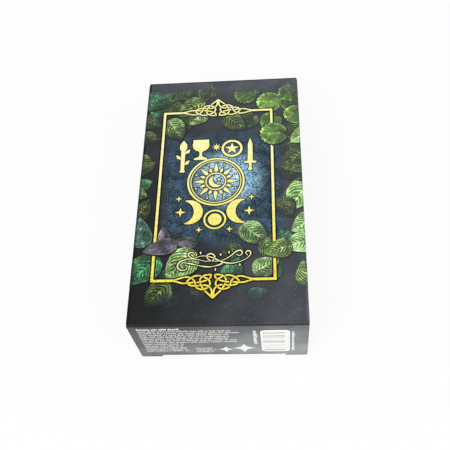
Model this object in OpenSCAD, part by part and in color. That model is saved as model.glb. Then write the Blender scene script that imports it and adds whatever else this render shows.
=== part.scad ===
// Boxed tarot deck: a folding carton with a tuck lid at each end, the cards
// of the five groups of a tarot deck, and a stapled booklet on top of them.
// Millimetres. The box lies on its back panel, +Z up, front panel on top,
// +Y towards the top end of the box. Origin: centre of the back panel's outside.

/* [Cards] */
// Width of a card
card_w = 66; // [50:0.5:90]
// Length of a card
card_l = 120; // [90:0.5:150]
// Thickness of a card
card_t = 0.33; // [0.25:0.01:0.5]
// Radius of a card's corners
card_corner_r = 4; // [1:0.5:8]
// Air between two cards in the stack
card_gap = 0.015; // [0.005:0.005:0.05]
// Number of major arcana cards
major_count = 22; // [1:1:30]
// Number of cards in each of the four suits
suit_count = 14; // [1:1:20]

/* [Booklet] */
// How far the booklet stays inside the cards at each side
booklet_side_margin = 2; // [0.5:0.5:10]
// How far the booklet stays inside the cards at each end
booklet_end_margin = 3; // [0.5:0.5:15]
// Number of folded sheets inside the cover
sheet_count = 9; // [4:1:16]
// Thickness of a folded sheet
sheet_t = 0.13; // [0.08:0.01:0.2]
// Thickness of the booklet's cover
cover_t = 0.25; // [0.15:0.01:0.4]
// Air between two sheets
sheet_gap = 0.01; // [0.005:0.005:0.03]
// Inside radius of the innermost fold
core_r = 0.3; // [0.26:0.02:0.5]
// Side of the staples' square wire
staple_wire = 0.4; // [0.3:0.02:0.44]
// Distance between a staple's two legs
staple_span = 12; // [8:0.5:16]
// Distance between the middles of the two staples
staple_pitch = 62; // [40:1:70]
// Length of a staple leg's bent end
staple_clinch = 4; // [2:0.5:5]

/* [Carton] */
// Thickness of the carton board
board_t = 0.5; // [0.35:0.05:0.7]
// Outside radius of the four long folds
fold_r = 0.9; // [0.8:0.05:1.5]
// Radius of the bead along a hinged crease
bead_r = 0.6; // [0.4:0.05:0.9]
// Running clearance around a crease bead
hinge_gap = 0.05; // [0.03:0.01:0.1]
// Clearance between two layers of board
layer_gap = 0.15; // [0.1:0.05:0.3]
// Room beside the cards on each side
side_play = 2; // [1.2:0.1:4]
// Room beyond the cards at each end
end_play = 1.35; // [1.2:0.05:4]
// Room between the booklet and the front panel
head_room = 1.55; // [1:0.05:5]
// Height of the glued seam flap
glue_flap_h = 12; // [8:0.5:20]
// How far the glued seam flap stays back from the box's ends
glue_flap_setback = 4; // [3:0.5:10]
// Slope of the glued seam flap's ends, in degrees
glue_flap_slope = 15; // [0:1:30]

/* [Tuck lids] */
// Gap between a lid's edge and the side of the box
lid_edge_gap = 0.2; // [0.1:0.05:0.5]
// Radius of a lid's free corners
lid_corner_r = 1; // [0.5:0.1:2]
// How far a lid's crease bead stays inside the lid's edges
lid_bead_inset = 0.2; // [0.1:0.05:0.5]
// Height of a lid's lower corners above the table
lid_foot = 0.12; // [0.05:0.01:0.3]
// Length of a tuck tongue from its crease
tongue_l = 11; // [8:0.5:12]
// Radius of a tuck tongue's corners
tongue_corner_r = 7; // [3:0.5:8]
// Gap between a tuck tongue's edge and the side panel
tongue_edge_gap = 1.3; // [0.8:0.1:3]
// Share of the lid's turn that its tongue tilts by
tongue_tilt = 0.6; // [0.5:0.05:0.65]
// Length of the lock slit at each end of a tuck crease
slit_l = 9; // [6:0.5:12]
// Width of a lock slit
slit_w = 0.1; // [0.05:0.05:0.3]

/* [Dust flaps] */
// Length of a dust flap from its crease
dust_l = 20; // [12:0.5:24]
// Slope of a dust flap's upper edge, in degrees
dust_upper_slope = 40; // [38:1:45]
// Slope of a dust flap's lower edge, in degrees
dust_lower_slope = 15; // [13:1:20]
// Level part of both edges next to the crease
dust_land = 1; // [0.5:0.1:1.2]
// Radius of a dust flap's free corners
dust_corner_r = 3; // [1:0.5:4]

/* [Hidden] */
$fn = 48;
suits = ["wands", "cups", "swords", "pentacles"];
eps = 0.01;

// The booklet's outline, and the thicknesses of the stacks
booklet_w = card_w - 2 * booklet_side_margin;
booklet_l = card_l - 2 * booklet_end_margin;
card_pitch = card_t + card_gap;
card_count = major_count + len(suits) * suit_count;
deck_h = card_count * card_pitch;
booklet_h = 2 * (core_r + sheet_count * (sheet_t + sheet_gap) + cover_t);

// A lid reaches from its crease on the front panel to its tongue's crease
lid_reach = board_t + layer_gap + deck_h + layer_gap + booklet_h + head_room + board_t - 2 * bead_r;
// The tongue's tip dips by this much while the lid draws it out of the box
tongue_dip = pow(tongue_l * tongue_tilt, 2) / (2 * lid_reach);
tongue_z = board_t + tongue_dip + layer_gap;
tongue_axis_z = tongue_z + bead_r;

// Heights from the table up
deck_z = tongue_z + board_t + layer_gap;
booklet_z = deck_z + deck_h + layer_gap;
box_h = booklet_z + booklet_h + head_room + board_t;
lid_axis_z = box_h - bead_r;

// Outside of the box, and depths measured inwards from an end's outside face
box_w = card_w + 2 * side_play + 2 * board_t;
dust_depth = board_t + layer_gap;
box_l = card_l + 2 * (end_play + dust_depth + board_t);
lid_w = box_w - 2 * lid_edge_gap;
lid_bead_l = lid_w - 2 * lid_bead_inset;
slit_x = lid_w / 2 - slit_l;
tongue_w = box_w - 2 * (board_t + tongue_edge_gap);
tongue_slit_depth = bead_r + tongue_axis_z - lid_foot + slit_w;
dust_axis_depth = dust_depth + bead_r;
dust_axis_x = box_w / 2 - bead_r;
dust_bottom_z = tongue_axis_z + bead_r + layer_gap;
dust_top_z = box_h - 2 * bead_r - layer_gap;

print_black = "#1d1e21";
board_white = "#e9e6df";
card_edge = "#efece4";
booklet_black = "#26272b";
steel = "silver";

// A rectangle that stands on the x axis, centred on x, with rounded corners
module rounded_rect(w, h, r) {
    translate([-w / 2 + r, 0]) square([w - 2 * r, h]);
    translate([-w / 2, r]) square([w, h - 2 * r]);
    for (x = [-w / 2 + r, w / 2 - r], y = [r, h - r]) translate([x, y]) circle(r);
}

// Extrudes an X-Z outline along Y, from y0 over a length l
module along_y(y0, l) {
    translate([0, y0 + l, 0]) rotate([90, 0, 0]) linear_extrude(l) children();
}

// A rod along X, centred on x = 0
module rod_x(r, l) {
    translate([-l / 2, 0, 0]) rotate([0, 90, 0]) cylinder(r = r, h = l);
}

// Works at the top end of the box, or mirrored at its bottom end
module at_end(end) {
    if (end == "top") children();
    else mirror([0, 1, 0]) children();
}

// Works at the right side of the box, or mirrored at its left side
module at_side(side) {
    if (side == "right") children();
    else mirror([1, 0, 0]) children();
}

// Cross-section of a right-angled fold, curving from +X to +Z about its centre
module fold_section() {
    intersection() {
        difference() {
            circle(fold_r);
            circle(fold_r - board_t);
        }
        square(fold_r);
    }
}

// X-Z section of a wide panel lying on z = 0, with a fold down each long edge;
// left and right are where the outsides of the folds reach
module panel_section(left, right) {
    translate([left + fold_r, 0]) square([right - left - 2 * fold_r, board_t]);
    translate([right - fold_r, fold_r]) mirror([0, 1]) fold_section();
    translate([left + fold_r, fold_r]) mirror([1, 0]) mirror([0, 1]) fold_section();
}

// What a lid's crease bead takes away from the end of the front panel
module lid_hinge_relief() {
    translate([0, box_l / 2 - bead_r, lid_axis_z]) {
        rod_x(bead_r + hinge_gap, box_w + 2 * eps);
        translate([-box_w / 2 - eps, 0, -box_h / 2]) cube([box_w + 2 * eps, bead_r + eps, box_h]);
    }
}

// What the dust flaps' crease beads take away from the end of a side panel
module dust_hinge_relief() {
    translate([dust_axis_x, box_l / 2 - dust_axis_depth, -eps]) {
        cylinder(r = bead_r + hinge_gap, h = box_h + 2 * eps);
        translate([-bead_r - hinge_gap, 0, 0])
            cube([2 * bead_r + 2 * hinge_gap, dust_axis_depth + eps, box_h + 2 * eps]);
    }
}

module front_panel() {
    color(print_black) difference() {
        translate([0, 0, box_h]) mirror([0, 0, 1])
            along_y(-box_l / 2, box_l) panel_section(-box_w / 2, box_w / 2);
        for (end = ["top", "bottom"]) at_end(end) lid_hinge_relief();
    }
}

// The back panel's left fold lies inside the left side panel, at the glued seam
module back_panel() {
    color(print_black)
        along_y(-box_l / 2 + dust_depth, box_l - 2 * dust_depth)
            panel_section(-box_w / 2 + board_t, box_w / 2);
}

module side_panel(side, bottom_z) {
    color(print_black) at_side(side) difference() {
        translate([box_w / 2 - board_t, -box_l / 2, bottom_z])
            cube([board_t, box_l, box_h - fold_r - bottom_z]);
        for (end = ["top", "bottom"]) at_end(end) dust_hinge_relief();
    }
}

// The left side panel runs down past the seam, with its cut edge at the table
module left_side_panel() { side_panel("left", lid_foot); }

module right_side_panel() { side_panel("right", fold_r); }

// Glued against the inside of the left side panel
module glue_flap() {
    half = box_l / 2 - glue_flap_setback;
    slant = glue_flap_h * tan(glue_flap_slope);
    color(board_white)
        translate([-box_w / 2 + board_t, 0, fold_r]) rotate([90, 0, 90]) linear_extrude(board_t)
            polygon([[-half, 0], [half, 0], [half - slant, glue_flap_h], [-half + slant, glue_flap_h]]);
}

// X-Z outline of a lid: rounded at its free corners, square at its crease
module lid_outline() {
    h = lid_axis_z - lid_foot;
    translate([0, lid_foot]) {
        rounded_rect(lid_w, h, lid_corner_r);
        translate([-lid_w / 2, h - lid_corner_r]) square([lid_w, lid_corner_r]);
    }
}

// End panel on a crease bead under the front panel's edge, with an ear beside
// each lock slit and a hollow for its tongue's bead between them
module lid(end) {
    color(print_black) at_end(end) translate([0, box_l / 2, 0]) {
        translate([0, -bead_r, lid_axis_z]) rod_x(bead_r, lid_bead_l);
        difference() {
            along_y(-board_t, board_t) lid_outline();
            translate([0, -bead_r, tongue_axis_z]) rod_x(bead_r + hinge_gap, 2 * slit_x);
            translate([-slit_x, -board_t - eps, -eps])
                cube([2 * slit_x, board_t + 2 * eps, tongue_axis_z + eps]);
        }
    }
}

module top_lid() { lid("top"); }

module bottom_lid() { lid("bottom"); }

// Tongue that tucks in over the back panel, on its own crease bead
module tuck_tongue(end) {
    root_w = 2 * slit_x - 2 * layer_gap;
    color(print_black) at_end(end) translate([0, box_l / 2 - bead_r, 0]) {
        translate([0, 0, tongue_axis_z]) rod_x(bead_r, root_w);
        translate([0, 0, tongue_z]) linear_extrude(board_t) {
            translate([-root_w / 2, -tongue_slit_depth]) square([root_w, tongue_slit_depth]);
            difference() {
                translate([0, -tongue_l]) rounded_rect(tongue_w, 2 * tongue_l, tongue_corner_r);
                translate([-tongue_w / 2 - eps, bead_r - tongue_slit_depth])
                    square([tongue_w + 2 * eps, 2 * tongue_l]);
            }
        }
    }
}

module top_tuck_tongue() { tuck_tongue("top"); }

module bottom_tuck_tongue() { tuck_tongue("bottom"); }

// How far the centre of a dust flap's rounded corner lies in from the level
// part of an edge that slopes by this angle
function dust_corner_rise(slope) =
    (dust_corner_r + (dust_l - dust_corner_r - dust_land) * sin(slope)) / cos(slope);

// X-Z outline of a dust flap: x runs from its crease to its free edge
module dust_outline() {
    r = dust_corner_r;
    corner_x = dust_l - r;
    upper_z = dust_top_z - dust_corner_rise(dust_upper_slope);
    lower_z = dust_bottom_z + dust_corner_rise(dust_lower_slope);
    polygon([
        [0, dust_bottom_z], [0, dust_top_z], [dust_land, dust_top_z],
        [corner_x + r * sin(dust_upper_slope), upper_z + r * cos(dust_upper_slope)],
        [dust_l, upper_z], [dust_l, lower_z],
        [corner_x + r * sin(dust_lower_slope), lower_z - r * cos(dust_lower_slope)],
        [dust_land, dust_bottom_z]
    ]);
    for (z = [upper_z, lower_z]) translate([corner_x, z]) circle(r);
}

// Flap on a crease bead at the end of a side panel, folded in behind the lid
module dust_flap(end, side) {
    color(print_black) at_end(end) at_side(side)
        translate([dust_axis_x, box_l / 2 - dust_axis_depth, 0]) {
            translate([0, 0, dust_bottom_z]) cylinder(r = bead_r, h = dust_top_z - dust_bottom_z);
            along_y(bead_r - board_t, board_t) mirror([1, 0]) dust_outline();
        }
}

module top_left_dust_flap() { dust_flap("top", "left"); }

module top_right_dust_flap() { dust_flap("top", "right"); }

module bottom_left_dust_flap() { dust_flap("bottom", "left"); }

module bottom_right_dust_flap() { dust_flap("bottom", "right"); }

// A run of cards in the stack, the first one being number first from below
module cards(first, count) {
    color(card_edge)
        for (i = [first : first + count - 1])
            translate([0, -card_l / 2, deck_z + i * card_pitch])
                linear_extrude(card_t) rounded_rect(card_w, card_l, card_corner_r);
}

module suit_cards(suit) { cards(suit * suit_count, suit_count); }

module wands_cards() { suit_cards(0); }

module cups_cards() { suit_cards(1); }

module swords_cards() { suit_cards(2); }

module pentacles_cards() { suit_cards(3); }

module major_arcana_cards() { cards(len(suits) * suit_count, major_count); }

// The booklet's sheets fold about one line along its spine
spine_x = -booklet_w / 2 + booklet_h / 2;
spine_z = booklet_z + booklet_h / 2;

// A sheet folded about the spine line, from radius r inwards by t
module folded_sheet(r, t) {
    difference() {
        along_y(-booklet_l / 2, booklet_l) translate([spine_x, spine_z]) {
            difference() {
                circle(r);
                circle(r - t);
                translate([0, -r]) square(2 * r);
            }
            for (z = [-r, r - t]) translate([0, z]) square([booklet_w / 2 - spine_x, t]);
        }
        staple_holes();
    }
}

// Places a child at each leg of the two staples
module at_staple_legs() {
    for (y = [-staple_pitch / 2, staple_pitch / 2], leg = [-1, 1])
        translate([spine_x, y + leg * staple_span / 2, spine_z]) children();
}

module staple_holes() {
    hole = staple_wire + 4 * sheet_gap;
    at_staple_legs()
        translate([-booklet_h, -hole / 2, -hole / 2]) cube([booklet_h, hole, hole]);
}

module booklet_cover() {
    color(booklet_black) folded_sheet(booklet_h / 2, cover_t);
}

module booklet_sheets() {
    color(board_white)
        for (i = [1 : sheet_count]) folded_sheet(core_r + i * (sheet_t + sheet_gap) - sheet_gap, sheet_t);
}

// Two wire staples: a crown on the spine, two legs through the folds, and the
// legs' ends bent towards each other inside the innermost fold
module booklet_staples() {
    w = staple_wire;
    crown_x = -booklet_h / 2 - sheet_gap - w;
    color(steel) {
        at_staple_legs() translate([crown_x, -w / 2, -w / 2]) cube([w / 2 - crown_x, w, w]);
        for (y = [-staple_pitch / 2, staple_pitch / 2]) translate([spine_x, y, spine_z - w / 2]) {
            translate([crown_x, -staple_span / 2, 0]) cube([w, staple_span, w]);
            for (leg = [0, 1]) mirror([0, leg, 0])
                translate([-w / 2, staple_span / 2 - staple_clinch, 0]) cube([w, staple_clinch, w]);
        }
    }
}

front_panel();
back_panel();
left_side_panel();
right_side_panel();
glue_flap();
top_lid();
top_tuck_tongue();
top_left_dust_flap();
top_right_dust_flap();
bottom_lid();
bottom_tuck_tongue();
bottom_left_dust_flap();
bottom_right_dust_flap();
major_arcana_cards();
wands_cards();
cups_cards();
swords_cards();
pentacles_cards();
booklet_cover();
booklet_sheets();
booklet_staples();
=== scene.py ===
"""Looks of a boxed tarot deck: printed carton, gold foil ornament, leaves, cards and booklet."""

import math
import random

import bmesh
import bpy
from mathutils import Matrix, Vector


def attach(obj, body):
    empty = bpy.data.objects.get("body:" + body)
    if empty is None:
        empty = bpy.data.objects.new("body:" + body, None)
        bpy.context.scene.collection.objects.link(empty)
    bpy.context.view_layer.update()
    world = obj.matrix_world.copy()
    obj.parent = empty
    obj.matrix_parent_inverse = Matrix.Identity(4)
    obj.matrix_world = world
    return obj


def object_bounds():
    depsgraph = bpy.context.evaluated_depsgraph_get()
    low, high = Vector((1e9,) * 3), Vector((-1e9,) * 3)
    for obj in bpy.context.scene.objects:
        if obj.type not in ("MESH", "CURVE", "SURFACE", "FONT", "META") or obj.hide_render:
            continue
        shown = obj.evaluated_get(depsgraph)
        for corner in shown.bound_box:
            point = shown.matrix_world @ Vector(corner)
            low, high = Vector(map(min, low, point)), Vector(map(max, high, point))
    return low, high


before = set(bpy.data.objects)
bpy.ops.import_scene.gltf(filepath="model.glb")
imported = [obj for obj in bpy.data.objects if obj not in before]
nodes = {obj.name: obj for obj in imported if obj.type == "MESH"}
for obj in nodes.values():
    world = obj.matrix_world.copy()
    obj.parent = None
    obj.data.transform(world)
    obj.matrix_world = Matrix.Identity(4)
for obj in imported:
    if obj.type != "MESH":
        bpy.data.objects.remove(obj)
cad_lo, cad_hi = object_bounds()

MM = 0.001
HALF_W = cad_hi.x / MM
HALF_L = cad_hi.y / MM
HEIGHT = cad_hi.z / MM

# Radius of the long folds, edge of the flat between them, and the leaves' reach to either end
FOLD_R = 0.9
FLAT_X = HALF_W - FOLD_R
FRONT_END = 61.5

# The print sits a little left of the middle of the front
ART_X = -1.85
EMBLEM = (ART_X, 4.0)

# Print in mm: thickness of ink and of foil, and the levels on which frames and side moons start
INK_T = 0.012
FOIL_T = 0.045
FRAME_BASE = 0.10
SIDE_BASE = 0.06

# Leaves in mm: lowest level, step from one to the next, thickness, and level over the frame
LEAF_BASE = 0.012
LEAF_STEP = 0.0015
LEAF_T = 0.001
OVER_FRAME = 0.150

# Stems in mm: width, and levels of their lower and upper face
STEM_WIDTH = 0.38
STEM_LEVELS = (0.060, 0.068)

# Camera: its place in metres, the ways to its right and behind it, and its lens in mm
CAMERA_PLACE = (0.024258, -0.156496, 0.266819)
CAMERA_RIGHT = (0.99639, 0.01704, -0.08318)
CAMERA_BACK = (0.08021, -0.51021, 0.85630)
CAMERA_LENS = 52.106

# Strength of the light from all round, and the floor's share of glow
WORLD_LIGHT = 0.55
FLOOR_GLOW = 0.9


# Camera, floor and light

def add_object(name, data):
    thing = bpy.data.objects.new(name, data)
    bpy.context.scene.collection.objects.link(thing)
    return thing


def make_camera():
    data = bpy.data.cameras.new("camera")
    data.sensor_width = 36.0
    data.lens = CAMERA_LENS
    data.clip_start = 0.01
    camera = add_object("camera", data)
    back = Vector(CAMERA_BACK).normalized()
    up = back.cross(Vector(CAMERA_RIGHT).normalized()).normalized()
    turn = Matrix((up.cross(back), up, back)).transposed().to_4x4()
    camera.matrix_world = Matrix.Translation(CAMERA_PLACE) @ turn
    bpy.context.scene.camera = camera


def seen_rays(tree):
    """1 for camera, glossy and transmission rays, 0 for the rays that light other surfaces."""
    path = tree.nodes.new("ShaderNodeLightPath")
    total = path.outputs["Is Camera Ray"]
    for name in ("Is Glossy Ray", "Is Transmission Ray"):
        larger = tree.nodes.new("ShaderNodeMath")
        larger.operation = "MAXIMUM"
        tree.links.new(total, larger.inputs[0])
        tree.links.new(path.outputs[name], larger.inputs[1])
        total = larger.outputs[0]
    return total


def mix_shaders(tree, share, first, second, output):
    """Send a mix of two shader nodes to the tree's output."""
    mix = tree.nodes.new("ShaderNodeMixShader")
    for socket, source in zip(mix.inputs, (share, first.outputs[0], second.outputs[0])):
        tree.links.new(source, socket)
    tree.links.new(mix.outputs[0], tree.nodes[output].inputs["Surface"])


def make_world():
    """Soft white light from all round, on a background that is seen as plain white."""
    world = bpy.data.worlds.new("studio")
    bpy.context.scene.world = world
    world.use_nodes = True
    tree = world.node_tree
    light = tree.nodes["Background"]
    white = tree.nodes.new("ShaderNodeBackground")
    for background, strength in ((light, WORLD_LIGHT), (white, 1.0)):
        background.inputs["Color"].default_value = (1, 1, 1, 1)
        background.inputs["Strength"].default_value = strength
    mix_shaders(tree, seen_rays(tree), light, white, "World Output")


def make_floor():
    """A white floor that glows for the rays that see it, and keeps a faint shadow."""
    mesh = bpy.data.meshes.new("floor")
    size = 3.0
    low = -0.0002
    corners = [(-size, -size, low), (size, -size, low), (size, size, low), (-size, size, low)]
    mesh.from_pydata(corners, [], [(0, 1, 2, 3)])
    floor = add_object("floor", mesh)
    material = bpy.data.materials.new("floor_white")
    material.use_nodes = True
    tree = material.node_tree
    tree.nodes.remove(tree.nodes["Principled BSDF"])
    matte = tree.nodes.new("ShaderNodeBsdfDiffuse")
    matte.inputs["Color"].default_value = (0.9, 0.9, 0.9, 1)
    glow = tree.nodes.new("ShaderNodeEmission")
    glow.inputs["Strength"].default_value = 1.0
    share = tree.nodes.new("ShaderNodeMath")
    share.operation = "MULTIPLY"
    share.inputs[1].default_value = FLOOR_GLOW
    tree.links.new(seen_rays(tree), share.inputs[0])
    mix_shaders(tree, share.outputs[0], matte, glow, "Material Output")
    mesh.materials.append(material)


def make_lamp(name, place, size, watts):
    """A round lamp that points at the middle of the box's underside."""
    data = bpy.data.lights.new(name, "AREA")
    data.shape = "DISK"
    data.size = size
    data.energy = watts
    lamp = add_object(name, data)
    lamp.location = place
    lamp.rotation_euler = (Vector(place) * -1).to_track_quat("-Z", "Y").to_euler()


# Materials

class Value:
    """An output of a node. Sums and products with it add maths nodes to its graph."""

    def __init__(self, graph, socket):
        self.graph = graph
        self.socket = socket

    def __add__(self, other):
        return self.graph.math("ADD", self, other)

    def __sub__(self, other):
        return self.graph.math("SUBTRACT", self, other)

    def __rsub__(self, other):
        return self.graph.math("SUBTRACT", other, self)

    def __mul__(self, other):
        return self.graph.math("MULTIPLY", self, other)

    def __pow__(self, power):
        return self.graph.math("POWER", self, power)

    def __abs__(self):
        return self.graph.math("ABSOLUTE", self)


class Graph:
    """A material and the nodes that drive its shader."""

    def __init__(self, name, metallic=0.0, roughness=0.5, specular=0.5):
        self.material = bpy.data.materials.new(name)
        self.material.use_nodes = True
        self.tree = self.material.node_tree
        self.shader = self.tree.nodes["Principled BSDF"]
        self.feed(self.shader, {"Metallic": metallic, "Roughness": roughness})
        self.feed(self.shader, {"Specular IOR Level": specular})
        place = self.tree.nodes.new("ShaderNodeTexCoord")
        self.normal = Value(self, place.outputs["Normal"])
        self.mm = self.dim(Value(self, place.outputs["Object"]), 1 / MM)

    def feed(self, node, inputs):
        """Link or set inputs of the node, by their name or number."""
        for key, value in inputs.items():
            if isinstance(value, Value):
                self.tree.links.new(value.socket, node.inputs[key])
            else:
                node.inputs[key].default_value = value

    def new(self, kind, inputs, **settings):
        """All outputs of a new node that has these settings and inputs."""
        node = self.tree.nodes.new("ShaderNode" + kind)
        for name, setting in settings.items():
            setattr(node, name, setting)
        self.feed(node, inputs)
        return [Value(self, socket) for socket in node.outputs]

    def math(self, operation, first, second=0.0):
        return self.new("Math", {0: first, 1: second}, operation=operation)[0]

    def vector(self, operation, first, second, key=1, output=0):
        return self.new("VectorMath", {0: first, key: second}, operation=operation)[output]

    def dim(self, colour, factor):
        """The colour, or any vector, times a number."""
        return self.vector("SCALE", colour, factor, "Scale")

    def stretched(self, factors):
        return self.vector("MULTIPLY", self.mm, factors)

    def split(self, vector):
        return self.new("SeparateXYZ", {0: vector})

    def blend(self, share, first, second):
        """A mix of two colours."""
        pair = [c if isinstance(c, Value) else (*c, 1.0) for c in (first, second)]
        return self.new("Mix", {0: share, 6: pair[0], 7: pair[1]}, data_type="RGBA")[2]

    def noise(self, scale, detail, vector=None, roughness=0.55):
        inputs = {"Vector": vector or self.mm, "Scale": scale}
        inputs.update({"Detail": detail, "Roughness": roughness})
        return self.new("TexNoise", inputs)[0]

    def cells(self, scale, feature="F1", vector=None):
        """Distance and colour of scattered cells."""
        inputs = {"Vector": vector or self.mm, "Scale": scale}
        return self.new("TexVoronoi", inputs, feature=feature)[:2]

    def attribute(self, name):
        return self.new("Attribute", {}, attribute_name=name)[1]

    def bump(self, height, depth_mm, strength):
        inputs = {"Strength": strength, "Distance": depth_mm * MM, "Height": height}
        self.feed(self.shader, {"Normal": self.new("Bump", inputs)[0]})

    def colour(self, value):
        self.feed(self.shader, {"Base Color": value})

    def rough(self, value):
        self.feed(self.shader, {"Roughness": value})


# Black laminate with a painted sheen: its tint, also on the near end, its least tone, and the painted
# sheen's share on the right
BLACK_AND_PAINTED_SHEEN_TINT = (0.87, 0.98, 1.15)
END_TINT = (0.95, 0.99, 1.03)
BLACK_LEAST = 0.008
PAINTED_SHEEN_RIGHT = 0.060


def ramp(value, low, high, at_low=0.0, at_high=1.0):
    """A smooth step from at_low to at_high, for a number or for an output of a node."""
    if isinstance(value, Value):
        inputs = {"Value": value, "From Min": low, "From Max": high}
        inputs.update({"To Min": at_low, "To Max": at_high})
        return value.graph.new("MapRange", inputs, interpolation_type="SMOOTHSTEP")[0]
    t = min(1.0, max(0.0, (value - low) / (high - low)))
    return at_low + (at_high - at_low) * t * t * (3 - 2 * t)


def front_painted_sheen(x, y):
    """Tone of the front's black with a painted sheen, for numbers or for nodes: the painted sheen is
    stronger to the right and the top.
    """
    right = ramp(x, -HALF_W, HALF_W)
    top = ramp(y, -HALF_L, HALF_L)
    # Painted sheen: paler to the lower right and towards the top
    low_right = right * PAINTED_SHEEN_RIGHT * (1.0 - top * 0.6)
    return low_right + top ** 1.6 * 0.034 + ramp(y, 50.0, 62.0, 0.0, 0.036) + BLACK_LEAST


def front_painted_light(graph):
    """The front's tone and painted sheen, with painted shade along its left fold and a painted
    highlight run on its right one.
    """
    x, y, _ = graph.split(graph.mm)
    # Painted highlight along the lower part of the right fold
    painted_fold_highlight = ramp(x, 34.3, 34.9) * ramp(y, -32.0, -52.0, 0.0, 0.06)
    # Painted shade darkens the left fold
    return front_painted_sheen(x, y) * ramp(x, -34.6, -33.8, 0.05, 1.0) + painted_fold_highlight


def end_painted_light(graph):
    """Painted reflection on the near end: grey, with painted shade dark at the crease, paler to the
    bottom and the right.
    """
    x, _, z = graph.split(graph.mm)
    right = ramp(x, -HALF_W, HALF_W)
    down = graph.math("MAXIMUM", 1.0 - z * (1 / 33.0), 0.0)
    tone = down * (right * 0.12 + 0.13) + (right * 0.08 + 0.045)
    # A little darker along the bottom edge, and painted shade at the crease
    tone = tone * ramp(z, 1.0, 7.0, 0.80, 1.0) * ramp(z, 32.7, 33.3, 1.0, 0.02)
    front = right * PAINTED_SHEEN_RIGHT + BLACK_LEAST
    # The bead's top takes the front's painted sheen
    return tone + front * ramp(z, 34.35, 34.6)


def plain_black_tone(graph):
    """Charcoal tone of the faces that carry little print, paler towards the bottom."""
    return ramp(graph.split(graph.mm)[2], 0.0, HEIGHT, 0.030, 0.012)


def past_edge(graph, half_x, half_y):
    """How far a place lies outside a rectangle about the middle."""
    x, y, _ = graph.split(graph.mm)
    return graph.math("MAXIMUM", abs(x) - half_x, abs(y) - half_y)


def mottled(graph, grain, first, second, smooth, rough):
    """Let the grain drive the colour and the roughness."""
    share = ramp(grain, 0.3, 0.7)
    graph.colour(graph.blend(share, first, second))
    graph.rough(ramp(share, 0.0, 1.0, smooth, rough))
    return share


def board_fibre(graph):
    """Uncoated white board: warm fibres with grey flecks."""
    fibre = graph.noise(1.6, 6.0, graph.stretched((1.0, 3.0, 1.0)))
    white = graph.blend(ramp(fibre, 0.3, 0.7), (0.70, 0.68, 0.62), (0.84, 0.82, 0.77))
    fleck = ramp(graph.cells(1.1)[0], 0.05, 0.11, 0.35, 0.0)
    return graph.blend(fleck, white, (0.45, 0.41, 0.35)), fibre


def board(name, outward, both_sides=False, ends=False, haze=plain_black_tone, art=None, tint=BLACK_AND_PAINTED_SHEEN_TINT):
    """Carton board: black satin laminate where the surface faces outward, bare fibre elsewhere."""
    graph = Graph(name, roughness=0.4, specular=0.16)
    facing = graph.vector("DOT_PRODUCT", graph.normal, outward, output=1)
    x, y, _ = graph.split(graph.mm)
    normal_x, normal_y, _ = graph.split(graph.normal)
    if both_sides:
        facing = facing + normal_x * graph.math("SIGN", x)
    if ends:
        facing = facing + normal_y * graph.math("SIGN", y)
    printed = ramp(facing, 0.2, 0.4)
    cloud = ramp(graph.noise(0.09, 4.0), 0.35, 0.65, 0.82, 1.18)
    # The black ink carries the painted sheen from the tone function, with random clouds
    ink = graph.dim(tint, haze(graph) * cloud)
    if art:
        ink = art(graph, ink, x, y)
    # Folds and cut corners rub pale in small patches
    worn = ramp(past_edge(graph, HALF_W, HALF_L), -0.7, 0.0)
    worn = worn * ramp(graph.noise(0.8, 5.0), 0.60, 0.78)
    ink = graph.blend(worn * 0.08, ink, (0.5, 0.5, 0.48))
    bare, fibre = board_fibre(graph)
    graph.colour(graph.blend(printed, bare, ink))
    satin = ramp(graph.noise(0.5, 4.0), 0.3, 0.7, 0.36, 0.48)
    paper = ramp(fibre, 0.3, 0.7, 0.78, 0.92)
    graph.rough(satin * printed + paper * (1.0 - printed))
    graph.bump(graph.noise(2.2, 3.0), 0.012, 0.6)
    return graph.material


def front_art(graph, ink, x, y):
    """Mottled blue ground behind the emblem, and pale dust specks."""
    dx = x - (ART_X + 3.0)
    dy = y - EMBLEM[1]
    field = ramp(abs(dx), 22.0, 28.5, 1.0, 0.0)
    field = field * ramp(abs(dy + 2.5), 22.0, 33.0, 1.0, 0.0)
    away = ((dx - 2.0) * 0.069) ** 2.0 + ((dy - 1.6) * 0.070) ** 2.0
    glow = ramp(away, 0.0, 1.5, 1.0, 0.0)
    wash = ramp(graph.noise(0.20, 6.0, roughness=0.65), 0.32, 0.68)
    grit = ramp(graph.noise(1.3, 5.0, roughness=0.75), 0.40, 0.62, 0.40, 1.95)
    deep = graph.blend(wash, (0.013, 0.026, 0.037), (0.046, 0.090, 0.135))
    bright = graph.blend(wash, (0.12, 0.29, 0.44), (0.47, 0.73, 0.88))
    ink = graph.blend(field, ink, graph.dim(graph.blend(glow, deep, bright), grit))
    distance, colour = graph.cells(1.15)
    dot = ramp(distance, 0.06, 0.20, 1.0, 0.0)
    pick = ramp(graph.split(colour)[0], 0.50, 1.0)
    lower = ramp(y - x * 0.9, -20.0, -65.0)
    upper = ramp(y + x * 0.6, 40.0, 68.0)
    zone = graph.math("MAXIMUM", graph.math("MAXIMUM", lower, upper), 0.18)
    return graph.blend(dot * pick * zone * 0.42, ink, (0.75, 0.78, 0.74))


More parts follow.
